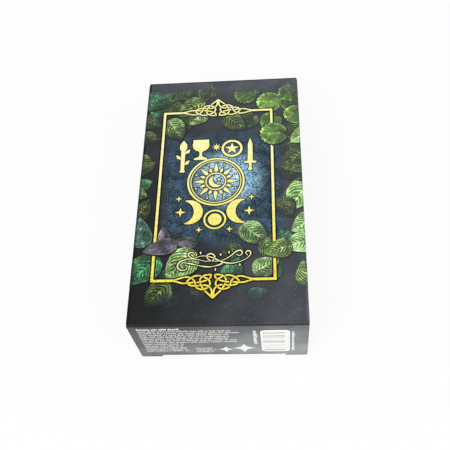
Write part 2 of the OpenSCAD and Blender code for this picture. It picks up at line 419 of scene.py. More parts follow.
def gold_foil(name, low, high, rust_share=0.85):
    """Scuffed hot foil with a painted reflection: pale gold at the front's top, deeper towards the
    bottom, where it is also more mottled.
    """
    graph = Graph(name, metallic=1.0, roughness=0.3)
    # Painted reflection: the foil runs from pale at the top to deep gold lower down
    tone = ramp(graph.split(graph.mm)[1], -45.0, 15.0)
    patch = ramp(graph.noise(0.55, 4.0), 0.36, 0.64)
    pale = graph.blend(patch, (high[0], high[1] * 0.96, high[2] * 0.62), high)
    rust = ramp(graph.noise(1.3, 4.0), 0.46, 0.62, 0.0, rust_share) * (1.0 - tone)
    deep = (low[0] * 0.80, low[1] * 0.50, low[2] * 0.3)
    base = graph.blend(rust, graph.blend(tone, low, pale), deep)
    graph.colour(graph.dim(base, ramp(patch, 0.0, 1.0, 0.94, 1.0)))
    graph.rough(ramp(graph.noise(2.5, 4.0), 0.3, 0.7, 0.24, 0.42))
    graph.bump(graph.noise(1.2, 3.0), 0.02, 0.5)
    return graph.material


def ink_black():
    graph = Graph("shadow_ink", roughness=0.5, specular=0.03)
    mottled(graph, graph.noise(0.6, 4.0), (0.006, 0.007, 0.009), (0.012, 0.013, 0.016), 0.40, 0.5)
    return graph.material


def ink_pale(name, first, second):
    """Pale printing ink with a fine screen grain."""
    graph = Graph(name, roughness=0.45, specular=0.35)
    mottled(graph, graph.noise(3.0, 3.0), first, second, 0.40, 0.52)
    return graph.material


def leaf_print():
    """Leaf picture: its colours come from the mesh, and its veins follow the leaf's own map."""
    graph = Graph("leaf_print", roughness=0.42, specular=0.16)
    along, across, _ = graph.split(graph.new("UVMap", {}, uv_map="leaf")[0])
    count, strength, seed = graph.split(graph.attribute("style"))
    net_share, rim_share, fan = graph.split(graph.attribute("finish"))
    away = abs(across)
    arched = along - (away * 0.10 + away ** 2.0 * 0.34)
    # A fan leaf has veins that spread from its base, the others have arched side veins
    course = across * fan + arched * (1.0 - fan)
    wander = graph.noise(0.35, 2.0) * 0.45
    gap = graph.math("PINGPONG", course * count + wander, 0.5)
    side_vein = ramp(gap, 0.06, 0.18, 1.0, 0.0)
    midrib = ramp(away, 0.015, 0.06, 1.0, 0.0)
    grid = graph.new("CombineXYZ", {0: along * 18.0, 1: across * 7.0, 2: seed})[0]
    net_edge = graph.cells(1.0, "DISTANCE_TO_EDGE", grid)[0]
    net = ramp(net_edge, 0.03, 0.15, 1.0, 0.0) * net_share
    rim = ramp(along * fan + away * (1.0 - fan), 0.76, 1.0) * rim_share
    veins = graph.math("MAXIMUM", graph.math("MAXIMUM", side_vein, midrib), net)
    veins = graph.math("MAXIMUM", veins * strength, rim)
    puff = ramp(gap, 0.1, 0.5, 0.7, 1.4)
    cloud = ramp(graph.noise(0.20, 4.0), 0.32, 0.68, 0.45, 1.5)
    beads = ramp(graph.noise(1.1, 2.0), 0.35, 0.65, 0.7, 1.25)
    sheen = ramp(graph.noise(0.40, 2.0), 0.50, 0.70, 0.9, 2.1)
    shade = ramp(across, -0.3, 0.3, 0.62, 1.15) * cloud
    ground = graph.dim(graph.attribute("ground"), puff * shade)
    vein = graph.dim(graph.attribute("vein"), sheen * beads * shade)
    leaf = graph.blend(veins, ground, vein)
    # The board's painted sheen is added over the leaf
    picture = graph.vector("ADD", leaf, graph.attribute("haze"))
    graph.colour(graph.vector("MINIMUM", picture, (0.88, 1.0, 0.66)))
    graph.rough(ramp(graph.noise(0.6, 3.0), 0.3, 0.7, 0.36, 0.48))
    graph.bump(veins, 0.006, 0.4)
    return graph.material


def stem_print():
    graph = Graph("stem_print", roughness=0.45, specular=0.3)
    patch = ramp(graph.noise(0.4, 3.0), 0.3, 0.7)
    graph.colour(graph.blend(patch, (0.05, 0.07, 0.02), (0.22, 0.24, 0.07)))
    return graph.material


def card_stock(name, tint):
    """Playing card: white cut edges, lattice back on the upper face, tinted face below."""
    graph = Graph(name, roughness=0.35, specular=0.4)
    up = graph.split(graph.normal)[2]
    x, y, _ = graph.split(graph.mm)
    first = graph.math("PINGPONG", x + y, 2.0)
    second = graph.math("PINGPONG", x - y, 2.0)
    lattice = ramp(graph.math("MINIMUM", first, second), 0.10, 0.25, 1.0, 0.0)
    back = graph.blend(lattice, (0.010, 0.022, 0.036), (0.55, 0.38, 0.08))
    margin = ramp(past_edge(graph, 30.0, 57.0), -0.05, 0.05)
    back = graph.blend(margin, back, (0.80, 0.78, 0.72))
    face = graph.blend(ramp(graph.noise(0.12, 5.0), 0.35, 0.65), tint, (0.74, 0.70, 0.60))
    streak = graph.noise(1.0, 3.0, graph.stretched((0.02, 0.02, 1.1)))
    grain = ramp(streak, 0.36, 0.64)
    edge = graph.blend(grain, (0.46, 0.45, 0.41), (0.86, 0.85, 0.82))
    colour = graph.blend(ramp(up, 0.3, 0.6), edge, back)
    graph.colour(graph.blend(ramp(up, -0.3, -0.6), colour, face))
    graph.rough(ramp(grain, 0.0, 1.0, 0.30, 0.5))
    graph.bump(graph.noise(3.0, 2.0), 0.008, 0.5)
    return graph.material


def booklet_cover_print():
    """Dark cover with a gold rule, and pale cut edges."""
    graph = Graph("booklet_cover_print", roughness=0.4, specular=0.4)
    line = ramp(abs(past_edge(graph, 26.0, 52.0)), 0.3, 0.5, 1.0, 0.0)
    up = ramp(abs(graph.split(graph.normal)[2]), 0.3, 0.6)
    cloud = ramp(graph.noise(0.15, 4.0), 0.3, 0.7)
    ink = graph.blend(cloud, (0.010, 0.014, 0.020), (0.022, 0.034, 0.048))
    ink = graph.blend(line, ink, (0.60, 0.42, 0.10))
    graph.colour(graph.blend(up, (0.60, 0.58, 0.54), ink))
    graph.rough(ramp(cloud, 0.0, 1.0, 0.34, 0.46))
    graph.bump(graph.noise(2.5, 3.0), 0.010, 0.5)
    return graph.material


def booklet_paper():
    graph = Graph("booklet_paper", roughness=0.8, specular=0.3)
    fibre = graph.noise(2.0, 5.0)
    grain = mottled(graph, fibre, (0.72, 0.70, 0.65), (0.84, 0.82, 0.78), 0.75, 0.9)
    graph.bump(grain, 0.010, 0.6)
    return graph.material


def staple_wire():
    graph = Graph("staple_wire", metallic=1.0, roughness=0.3)
    drawn = graph.noise(6.0, 3.0, graph.stretched((1.0, 0.15, 1.0)))
    mottled(graph, drawn, (0.46, 0.46, 0.47), (0.66, 0.66, 0.67), 0.25, 0.4)
    return graph.material


# Faces of the box as flat sheets: u to the right, v up, h out of the face, all in mm

def on_front(u, v, h):
    return (u, v, HEIGHT + h)


def on_back(u, v, h):
    return (-u, v, -h)


def on_bottom_end(u, v, h):
    return (u, -HALF_L - h, v)


def on_top_end(u, v, h):
    return (-u, HALF_L + h, v)


def on_left(u, v, h):
    return (-HALF_W - h, -u, v)


def on_right(u, v, h):
    return (HALF_W + h, u, v)


def over_fold(u, v, h):
    """The front, carried round its long folds and down the sides."""
    past = abs(u) - FLAT_X
    side = math.copysign(1.0, u)
    quarter = FOLD_R * math.pi / 2
    if past <= 0:
        return on_front(u, v, h)
    if past <= quarter:
        turn = past / FOLD_R
        reach = FOLD_R + h
        out = FLAT_X + reach * math.sin(turn)
        return (side * out, v, HEIGHT - FOLD_R + reach * math.cos(turn))
    return (side * (HALF_W + h), v, HEIGHT - FOLD_R - (past - quarter))


def add_piece(name, faces, material, body):
    """Turn gathered faces into a piece that rides on a body."""
    mesh = bpy.data.meshes.new(name)
    faces.to_mesh(mesh)
    faces.free()
    mesh.materials.append(material)
    piece = add_object(name, mesh)
    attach(piece, body)


# Flat shapes as lists of points

def polar(cx, cy, radius, turn):
    return (cx + radius * math.cos(turn), cy + radius * math.sin(turn))


def placed(loop, cx, cy, turn):
    """The loop, turned about the origin and moved to its place."""
    c, s = math.cos(turn), math.sin(turn)
    return [(cx + x * c - y * s, cy + x * s + y * c) for x, y in loop]


def circle(cx, cy, radius, count):
    return [polar(cx, cy, radius, 2 * math.pi * k / count) for k in range(count)]


def star(cx, cy, outer, inner, points):
    loop = []
    for k in range(points * 2):
        radius = inner if k % 2 else outer
        loop.append(polar(cx, cy, radius, math.pi / 2 + math.pi * k / points))
    return loop


def mirrored(cx, cy, steps):
    """A loop that is alike left and right, from (height, half width) steps, lowest first."""
    right = [(cx + half, cy + up) for up, half in steps]
    left = [(cx - half, cy + up) for up, half in reversed(steps)]
    return right + left


def crescent(cx, cy, radius, open_to, thickness=0.62):
    """A moon whose horns point along open_to."""
    count = 24
    shift = radius * thickness
    bite = radius * 0.98
    meet = (radius ** 2 - bite ** 2 + shift ** 2) / (2 * shift)
    outer_turn = math.acos(meet / radius)
    inner_turn = math.acos((meet - shift) / bite)
    loop = []
    for k in range(count + 1):
        turn = outer_turn + (2 * math.pi - 2 * outer_turn) * k / count
        loop.append(polar(0, 0, radius, turn))
    for k in range(1, count):
        turn = 2 * math.pi - inner_turn - (2 * math.pi - 2 * inner_turn) * k / count
        loop.append(polar(shift, 0, bite, turn))
    return placed(loop, cx, cy, open_to)


def rounded(x0, x1, z0, z1, radius):
    """A rectangle with round corners."""
    count = 6
    loop = []
    corners = ((x1 - radius, z0 + radius), (x1 - radius, z1 - radius),
               (x0 + radius, z1 - radius), (x0 + radius, z0 + radius))
    for quarter, (cx, cz) in enumerate(corners):
        for k in range(count + 1):
            turn = math.radians(90 * (quarter - 1) + 90 * k / count)
            loop.append(polar(cx, cz, radius, turn))
    return loop


def stroke(points, width, closed=False):
    """Left and right edges of a line, mitred at its corners; width is a number or one per point."""
    left, right = [], []
    last = len(points) - 1
    for k, (x, y) in enumerate(points):
        before = points[k - 1] if k or closed else points[k]
        after = points[(k + 1) % len(points)] if k < last or closed else points[k]
        inward = Vector((x - before[0], y - before[1]))
        outward = Vector((after[0] - x, after[1] - y))
        if inward.length == 0:
            inward = outward
        if outward.length == 0:
            outward = inward
        way = (inward.normalized() + outward.normalized()).normalized()
        wide = width[k] if isinstance(width, list) else width
        spread = wide / 2 / max(0.5, way.dot(outward.normalized()))
        left.append((x - way.y * spread, y + way.x * spread))
        right.append((x + way.y * spread, y - way.x * spread))
    return left, right


def grown(loop, amount):
    """The loop moved out by amount on all sides."""
    area = sum(a[0] * b[1] - b[0] * a[1] for a, b in zip(loop, loop[1:] + loop[:1]))
    left, right = stroke(loop, 2 * amount, closed=True)
    return right if area > 0 else left


class Sheet:
    """Thin closed shapes on one face of the box, gathered in one mesh."""

    def __init__(self, plane):
        self.plane = plane
        self.mesh = bmesh.new()

    def corner(self, point, height):
        place = self.plane(point[0], point[1], height)
        return self.mesh.verts.new([c * MM for c in place])

    def prism(self, loop, low, high):
        top = [self.corner(p, high) for p in loop]
        base = [self.corner(p, low) for p in loop]
        self.mesh.faces.new(top)
        self.mesh.faces.new(base[::-1])
        for k in range(len(loop)):
            n = (k + 1) % len(loop)
            self.mesh.faces.new((top[k], base[k], base[n], top[n]))

    def ribbon(self, left, right, low, high, closed=False):
        rows = []
        for a, b in zip(left, right):
            section = ((a, high), (b, high), (b, low), (a, low))
            rows.append([self.corner(point, height) for point, height in section])
        following = rows[1:] + rows[:1] if closed else rows[1:]
        for p, q in zip(rows, following):
            for k in range(4):
                n = (k + 1) % 4
                self.mesh.faces.new((p[k], q[k], q[n], p[n]))
        if not closed:
            self.mesh.faces.new(rows[0])
            self.mesh.faces.new(rows[-1][::-1])

    def finish(self, name, material, body):
        bmesh.ops.recalc_face_normals(self.mesh, faces=self.mesh.faces)
        add_piece(name, self.mesh, material, body)


class Foil:
    """Gold shapes with a dark ink line round each of them."""

    def __init__(self, plane, base=0.0, edge=0.4):
        self.gold = Sheet(plane)
        self.dark = Sheet(plane)
        self.base = base
        self.top = base + FOIL_T
        self.ink_top = base + INK_T
        self.edge = edge

    def line(self, points, width, closed=False, lift=0.0):
        margin = 2 * self.edge
        wider = [wide + margin for wide in width] if isinstance(width, list) else width + margin
        self.gold.ribbon(*stroke(points, width, closed), self.base, self.top + lift, closed)
        self.dark.ribbon(*stroke(points, wider, closed), self.base, self.ink_top, closed)

    def shape(self, loop, lift=0.0):
        self.gold.prism(loop, self.base, self.top + lift)
        self.dark.prism(grown(loop, self.edge), self.base, self.ink_top)

    def finish(self, name, gold, dark, body):
        self.gold.finish(name, gold, body)
        self.dark.finish(name + "_ink", dark, body)


# Interlaced knot, right half: both strands run from the point at the middle out to the frame's bar

KNOT_SPAN = 16.4
KNOT_WIDTH = 0.68
KNOT_GAP = 0.2
KNOT_LIFT = 0.008
POINT_LIFT = 0.01
INNER_STRAND = [
    (0.3, 7.6), (0.36, 6.3), (0.42, 5.1), (0.72, 4.1), (1.36, 3.2), (2.5, 2.5), (3.8, 2.3), (4.9, 2.4),
    (6.2, 2.55), (8.1, 2.5), (9.8, 1.9), (10.45, 1.07), (10.1, 0.2), (8.9, -1.05), (7.2, -1.95),
    (5.9, -2.1), (4.7, -1.85), (3.2, -1.15), (1.8, -0.15), (1.1, 1.3), (1.4, 2.6), (2.4, 3.7),
    (4.1, 4.3), (6.0, 3.8), (6.9, 2.8), (6.95, 1.8), (7.3, 0.6), (8.15, -0.5), (9.4, -1.35),
    (11.2, -1.55), (13.0, -1.1), (14.6, -0.5), (16.4, -0.1),
]
OUTER_STRAND = [
    (0.15, 8.1), (1.7, 6.4), (3.3, 4.75), (4.1, 3.4), (4.8, 2.2), (5.3, 0.6), (4.85, -0.95),
    (3.7, -2.05), (2.1, -2.45), (0.8, -2.45),
]
HOOK_STRAND = [
    (0.8, -2.45), (0.86, -1.7), (1.2, -0.8), (2.8, 0.2), (4.6, 0.75), (6.2, 1.05), (8.0, 1.05),
    (10.2, 1.3), (12.4, 1.25), (14.4, 0.6), (16.4, 0.1),
]


def smooth_path(points):
    """A curve through all the points."""
    steps = 10
    path = []
    ends = [points[0]] + points + [points[-1]]
    for a, b, c, d in zip(ends, ends[1:], ends[2:], ends[3:]):
        for k in range(steps):
            t = k / steps
            place = []
            for i in (0, 1):
                bend = 2 * a[i] - 5 * b[i] + 4 * c[i] - d[i]
                twist = 3 * b[i] - a[i] - 3 * c[i] + d[i]
                place.append(0.5 * (2 * b[i] + (c[i] - a[i]) * t + bend * t * t + twist * t ** 3))
            path.append(tuple(place))
    return path + [points[-1]]


def meeting(a, b, c, d):
    """The sine of the angle at which segment a-b crosses segment c-d, or None."""
    rx, ry = b[0] - a[0], b[1] - a[1]
    sx, sy = d[0] - c[0], d[1] - c[1]
    area = rx * sy - ry * sx
    if abs(area) < 1e-12:
        return None
    t = ((c[0] - a[0]) * sy - (c[1] - a[1]) * sx) / area
    w = ((c[0] - a[0]) * ry - (c[1] - a[1]) * rx) / area
    if 0 <= t < 1 and 0 <= w < 1:
        return abs(area) / math.hypot(rx, ry) / math.hypot(sx, sy)
    return None


def crossings(strands):
    """Each crossing as two strands, the place on each, and the sine of their angle."""
    found = []
    spots = [(i, p) for i, points in enumerate(strands) for p in range(len(points) - 1)]
    for n, (i, p) in enumerate(spots):
        a, b = strands[i][p], strands[i][p + 1]
        for j, q in spots[n + 1:]:
            if i == j and q - p < 6:
                continue
            c, d = strands[j][q], strands[j][q + 1]
            if abs(a[0] - c[0]) > 0.8 or abs(a[1] - c[1]) > 0.8:
                continue
            sine = meeting(a, b, c, d)
            if sine is not None:
                found.append((i, p, j, q, sine))
    return found


def woven(strands):
    """The visible runs of the strands, which go over and under by turns, cut back where under."""
    found = crossings(strands)
    passes = [[] for _ in strands]
    for i, p, j, q, _ in found:
        passes[i].append(p)
        passes[j].append(q)
    for places in passes:
        places.sort()
    offset = {0: 0}
    for i, p, j, q, _ in found:
        if i in offset and j not in offset:
            offset[j] = offset[i] + passes[i].index(p) + passes[j].index(q) + 1
    hidden = [[False] * len(points) for points in strands]
    for i, p, j, q, sine in found:
        over_first = (passes[i].index(p) + offset[i]) % 2 == 0
        under, at = (j, q) if over_first else (i, p)
        room = (KNOT_WIDTH / 2 + KNOT_GAP) / max(0.5, sine)
        here = strands[under][at]
        for k in range(max(0, at - 25), min(len(strands[under]), at + 25)):
            if math.dist(strands[under][k], here) < room:
                hidden[under][k] = True
    runs = []
    for points, gone in zip(strands, hidden):
        run = []
        for point, cut in zip(points + [points[-1]], gone + [True]):
            if not cut:
                run.append(point)
            elif run:
                runs.append(run)
                run = []
    return [run for run in runs if len(run) > 2]


def add_knot(foil, cx, cy, rise):
    """The knot's right half and its mirror image, drawn downward where rise is negative."""
    outer = smooth_path(OUTER_STRAND) + smooth_path(HOOK_STRAND)[1:]
    for run in woven([smooth_path(INNER_STRAND), outer]):
        # Where the two strands join the bar, one lies on the other
        lift = KNOT_LIFT if run[-1] == INNER_STRAND[-1] else 0.0
        for side in (1, -1):
            foil.line([(cx + side * x, cy + rise * y) for x, y in run], KNOT_WIDTH, lift=lift)
    point = mirrored(0, 0, [(4.9, 0.5), (6.4, 0.6), (7.1, 1.1), (8.6, 0.06)])
    foil.shape([(cx + x, cy + rise * y) for x, y in point], lift=POINT_LIFT)


# Front ornament

FRAME_X = 24.65
FRAME_TOP = 43.1
FRAME_LOW = -43.45
BAR_WIDTH = 1.12


def add_frame(foil, cx):
    """Two bars bent round the corners, joined by a knot at the top and one at the bottom."""
    for side in (-1, 1):
        near, far = cx + side * KNOT_SPAN, cx + side * FRAME_X
        path = [(near, FRAME_TOP), (far, FRAME_TOP), (far, FRAME_LOW), (near, FRAME_LOW)]
        foil.line(path, BAR_WIDTH)
    add_knot(foil, cx, FRAME_TOP, 0.90)
    add_knot(foil, cx, FRAME_LOW, -0.95)


def add_emblem(foil, cx, cy, size):
    """A sun of sixteen rays round a crescent, inside a double ring."""
    for radius, width, count in ((12.1, 0.85, 72), (10.9, 0.45, 72), (4.3, 0.6, 40)):
        foil.line(circle(cx, cy, radius * size, count), width * size, closed=True)
    foil.shape(crescent(cx, cy, 3.1 * size, math.radians(35)))
    foil.shape(star(cx + 1.35 * size, cy + 0.95 * size, 1.0 * size, 0.4 * size, 5))
    root, belly = 5.0 * size, 6.2 * size
    for k in range(16):
        turn = math.pi * k / 8
        tip, wide = (7.6 * size, 0.7 * size) if k % 2 else (10.0 * size, 0.95 * size)
        half = wide * 0.35
        ray = [(root, -half), (belly, -wide), (tip, 0.0), (belly, wide), (root, half)]
        foil.shape(placed(ray, cx, cy, turn))
        if k % 2:
            foil.shape(circle(*polar(cx, cy, 9.3 * size, turn), 0.42 * size, 12))


# Suit signs as (height, half width) steps
WAND = [
    (0, 0.7), (0.6, 1.3), (1.3, 0.8), (12.0, 0.95), (12.6, 1.5), (14.0, 1.7), (15.4, 1.5),
    (16.4, 0.9), (17.6, 0.1),
]
CUP = [
    (0, 3.0), (0.9, 2.9), (1.5, 1.2), (2.2, 0.6), (4.2, 0.6), (4.8, 1.2), (5.3, 2.4), (6.6, 3.5),
    (8.4, 3.8), (10.6, 3.5), (11.2, 3.7),
]
SWORD = [
    (0, 0.3), (0.5, 0.9), (1.2, 0.9), (1.8, 0.55), (4.0, 0.6), (4.1, 2.6), (4.9, 2.9), (5.3, 1.15),
    (14.6, 1.0), (17.8, 0.05),
]
TWIG = [(0.8, 0.0), (2.7, 0.7), (3.1, 2.6), (1.4, 1.9)]


def add_suits(foil):
    """Wand, cup, coin and sword in a row above the emblem."""
    foil.shape(mirrored(-16.9, 9.2, WAND))
    for up, side in ((4.0, 1), (7.0, -1), (10.0, 1)):
        foil.shape([(-16.9 + side * x, 9.2 + up + y) for x, y in TWIG])
    foil.shape(mirrored(-9.0, 15.8, CUP))
    foil.shape(star(ART_X - 0.1, 22.6, 2.3, 0.75, 8))
    foil.line(circle(5.0, 21.6, 4.2, 48), 1.05, closed=True)
    foil.shape(star(5.0, 21.5, 3.3, 1.3, 5))
    foil.shape(mirrored(13.1, 9.2, SWORD))


def add_moons(foil):
    """Waxing, full and waning moon below the emblem, with small stars."""
    foil.shape(crescent(-13.0, -11.4, 6.0, math.pi))
    foil.shape(crescent(9.0, -11.4, 6.0, 0.0))
    foil.line(circle(ART_X, -15.3, 4.4, 48), 0.8, closed=True)
    foil.shape(circle(ART_X, -15.3, 2.9, 40))
    for x in (-16.6, 12.6):
        foil.shape(star(x, -11.4, 2.4, 2.4 * 0.32, 4))
    for x, y in ((-8.4, -20.2), (4.4, -20.2), (-17.6, -4.6), (13.6, -4.6)):
        foil.shape(star(x, y, 1.5, 0.5, 4))


def add_moon_row(foil):
    """The moon's phases along a side of the box, between two rules."""
    middle = 14.5
    for side in (-1, 1):
        open_to = math.pi / 2 - side * math.pi / 2
        for u, thickness in ((13.0, 1.1), (25.0, 0.66), (36.0, 0.36)):
            foil.shape(crescent(side * u, middle, 3.9, open_to, thickness))
        for u in (7.0, 19.4, 30.4, 41.8):
            foil.shape(star(side * u, middle, 1.2, 1.2 * 0.34, 4))
        foil.shape(star(side * 47.5, middle, 2.6, 0.8, 8))
    foil.line(circle(0, middle, 4.4, 48), 0.5, closed=True)
    foil.shape(circle(0, middle, 3.4, 40))
    for v in (7.4, 21.6):
        foil.line([(-52.0, v), (52.0, v)], 0.55)
        for side in (-1, 1):
            tip = side * 53.6
            foil.shape([(tip - side, v), (tip, v + 0.7), (tip + side, v), (tip, v - 0.7)])


def add_top_ornament(foil):
    """A star between two moons inside a thin border, on the top lid."""
    foil.line([(-30.0, 5.0), (30.0, 5.0), (30.0, 29.6), (-30.0, 29.6)], 0.55, closed=True)
    middle = 17.3
    reach = (8.4, 2.6, 5.0, 2.6)
    foil.shape([polar(0.0, middle, reach[k % 4], math.pi * k / 16) for k in range(32)])
    small = ((22.8, 0.0, 2.2), (26.4, 8.6, 1.1), (26.4, -8.6, 1.1), (10.0, 7.6, 1.1), (10.0, -7.6, 1.1))
    for side in (-1, 1):
        foil.shape(crescent(side * 15.5, middle, 4.6, math.pi / 2 - side * math.pi / 2))
        for u, v, size in small:
            foil.shape(star(side * u, middle + v, size, size * 0.33, 4))


# Pen flourish: thinnest width of its strokes, how much they swell, and their points
PEN_THIN = 0.24
PEN_SWELL = 0.32
PEN_STROKES = [
    [(-12.4, -37.2), (-12.9, -38.6), (-14.9, -38.9), (-16.4, -37.4), (-15.6, -35.2), (-12.2, -33.9),
     (-8.2, -34.2), (-4.8, -35.1), (-2.0, -34.5), (-1.4, -32.8), (-2.9, -31.6), (-4.6, -32.5),
     (-3.8, -34.3), (-0.8, -35.2), (2.6, -34.4), (5.2, -32.7), (7.2, -30.9), (9.0, -30.4),
     (9.8, -31.6), (8.7, -32.8), (7.3, -32.1)],
    [(-9.7, -32.0), (-10.4, -30.9), (-11.9, -31.2), (-12.0, -32.5), (-10.0, -33.6), (-6.6, -32.6),
     (-2.6, -33.3), (1.4, -35.4), (5.6, -36.2), (9.6, -35.2), (12.4, -33.4), (13.2, -31.5),
     (12.1, -30.6), (11.2, -31.6), (12.0, -32.8)],
    [(-13.4, -35.6), (-10.4, -36.2), (-6.8, -37.2), (-3.2, -37.6), (0.2, -36.9), (2.2, -35.8)],
]


def add_flourish(foil):
    """A pen flourish under the moons: curling strokes that swell and thin, with small drops."""
    for points in PEN_STROKES:
        path = smooth_path(points)
        swell = [math.sin(math.pi * 3 * k / len(path)) ** 2 for k in range(len(path))]
        foil.line(path, [PEN_THIN + PEN_SWELL * share for share in swell])
    for x, y in ((-7.2, -31.2), (1.0, -32.2), (4.4, -31.2), (-1.0, -38.9), (8.8, -37.0)):
        foil.shape(mirrored(x, y, [(-0.6, 0.03), (-0.1, 0.34), (0.25, 0.3), (0.7, 0.03)]))


# Kinds of leaf: ground and vein colours, width for length, number of veins, and how strongly
# veins, net and rim show
KINDS = {
    "bright": ((0.012, 0.075, 0.006), (0.69, 1.02, 0.37), 0.74, 8.0, 0.95, 0.30, 0.25),
    "netted": ((0.005, 0.019, 0.003), (0.36, 0.54, 0.12), 0.72, 8.0, 0.9, 0.22, 0.12),
    "fine": ((0.004, 0.034, 0.014), (0.13, 0.44, 0.19), 0.70, 9.0, 0.85, 0.5, 0.22),
    "scalloped": ((0.055, 0.112, 0.014), (0.36, 0.66, 0.11), 1.0, 11.0, 0.45, 0.30, 0.8),
    "purple": ((0.050, 0.042, 0.072), (0.32, 0.33, 0.27), 0.50, 5.0, 0.30, 0.35, 0.5),
    "teal": ((0.022, 0.062, 0.056), (0.20, 0.40, 0.28), 0.60, 6.0, 0.45, 0.6, 0.6),
}


def half_width(t):
    """Width at t along a leaf that is round at its base and pointed at its tip, 1 at its widest."""
    return t ** 0.5 * (1 - t) ** 0.95 / 0.393


def front_fade(u, v):
    """How strongly the leaves show: they sink into black towards both ends and down the sides, with
    painted shade along the left fold.
    """
    fade = 1 - 0.92 * ramp(v, 49.0, 60.0)
    fade *= 1 - 0.97 * ramp(-v, 40.0, 56.0)
    # Painted shade on the leaves along the left fold
    painted_fold_shade = ramp(-u, 34.1, 34.8) * (1 - ramp(-u, 36.0, 37.0))
    return fade * (1 - 0.85 * painted_fold_shade) * (1 - 0.9 * ramp(abs(u), 37.0, 50.0))


def back_fade(u, v):
    return 0.8 * (1 - 0.9 * ramp(abs(v), 46.0, 60.0))


def back_tone(u, v):
    return 0.012


def fan_rows(x, y, heading, length):
    """Rows of (u, v, along, across) over a round leaf with a scalloped rim."""
    rows = 8
    columns = 132
    for r in range(rows + 1):
        along = max(0.02, r / rows)
        row = []
        for c in range(columns + 1):
            across = 2 * c / columns - 1
            turn = across * math.radians(135)
            lobe = 0.94 + 0.08 * abs(math.sin(across * 11 * math.pi)) ** 0.6
            rim = 0.72 * math.cos(turn) + math.sqrt(1 - (0.72 * math.sin(turn)) ** 2)
            reach = along * length * rim * lobe
            row.append((*polar(x, y, reach, math.radians(heading) + turn), along, across))
        yield row


def pointed_rows(x, y, heading, length, bend, wide):
    """Rows of (u, v, along, across) over a pointed leaf that bends along its length."""
    rows = 30
    columns = 10
    for r in range(rows + 1):
        along = r / rows
        turn = math.radians(heading + bend * (along - 0.5))
        ahead_x, ahead_y = math.cos(turn), math.sin(turn)
        if r:
            x += ahead_x * length / rows
            y += ahead_y * length / rows
        half = max(0.02, wide * half_width(along))
        row = []
        for c in range(columns + 1):
            across = 2 * c / columns - 1
            row.append((x - ahead_y * across * half, y + ahead_x * across * half, along, across))
        yield row


class LeafSheet:
    """Leaves of one cluster, drawn flat and then laid on the box."""

    def __init__(self, plane, height, fade=front_fade, tone=front_painted_sheen):
        self.mesh = bmesh.new()
        self.map = self.mesh.loops.layers.uv.new("leaf")
        layers = self.mesh.verts.layers.float_vector
        self.ground = layers.new("ground")
        self.vein = layers.new("vein")
        self.style = layers.new("style")
        self.look = layers.new("finish")
        self.haze = layers.new("haze")
        self.plane = plane
        self.height = height
        self.fade = fade
        self.tone = tone
        self.count = 0

    def leaf(self, kind, x, y, heading, length, tone, bend):
        """A leaf on a dark shadow of itself."""
        self.blade(kind, x + 0.3, y - 0.35, heading, length * 1.03, 0.0, bend, 1.07)
        self.blade(kind, x, y, heading, length, tone, bend, 1.0)

    def blade(self, kind, x, y, heading, length, tone, bend, broad):
        ground, vein, width, count, strength, net, rim = KINDS[kind]
        fan = kind == "scalloped"
        if fan:
            rows = fan_rows(x, y, heading, length * 0.55 * broad)
        else:
            rows = pointed_rows(x, y, heading, length, bend, length * width / 2 * broad)
        self.height += LEAF_STEP
        self.count += 1
        grid = []
        for points in rows:
            row = []
            for u, v, along, across in points:
                lit = max(0.12, 1.0 + 1.4 * ((u - x) * -0.35 + (v - y) * 0.6) / length)
                vert = self.mesh.verts.new((u, v, self.height))
                vert[self.style] = (count, strength, self.count * 3.7)
                vert[self.look] = (net, rim, float(fan))
                vert[self.ground] = Vector(ground) * tone ** 1.8 * lit
                vert[self.vein] = Vector(vein) * tone * lit
                row.append((vert, along, across))
            grid.append(row)
        for near, far in zip(grid, grid[1:]):
            for c in range(len(near) - 1):
                corners = (near[c], far[c], far[c + 1], near[c + 1])
                face = self.mesh.faces.new([vert for vert, _, _ in corners])
                for loop, (_, along, across) in zip(face.loops, corners):
                    loop[self.map].uv = (along, across)

    def cut(self, point, normal, drop=False):
        geometry = self.mesh.verts[:] + self.mesh.edges[:] + self.mesh.faces[:]
        bmesh.ops.bisect_plane(self.mesh, geom=geometry, dist=1e-5, plane_co=point, plane_no=normal,
                               clear_outer=drop)

    def finish(self, name, material, body, fold=True, edge=44.0):
        for side in (-1, 1):
            self.cut((0, side * FRONT_END, 0), (0, side, 0), drop=True)
            self.cut((side * edge, 0, 0), (side, 0, 0), drop=True)
            if fold:
                for k in range(7):
                    turn = math.pi / 2 * k / 6
                    self.cut((side * (FLAT_X + FOLD_R * turn), 0, 0), (side, 0, 0))
        for vert in self.mesh.verts:
            u, v, h = vert.co
            shown = self.fade(u, v)
            vert[self.ground] = vert[self.ground] * shown
            vert[self.vein] = vert[self.vein] * shown
            # The board's painted sheen lies over the leaves, less where they show strongly
            vert[self.haze] = Vector(BLACK_AND_PAINTED_SHEEN_TINT) * self.tone(u, v) * (1 - 0.45 * shown)
            vert.co = [c * MM for c in self.plane(u, v, h)]
        bmesh.ops.recalc_face_normals(self.mesh, faces=self.mesh.faces)
        bmesh.ops.solidify(self.mesh, geom=self.mesh.faces[:], thickness=LEAF_T * MM)
        add_piece(name, self.mesh, material, body)


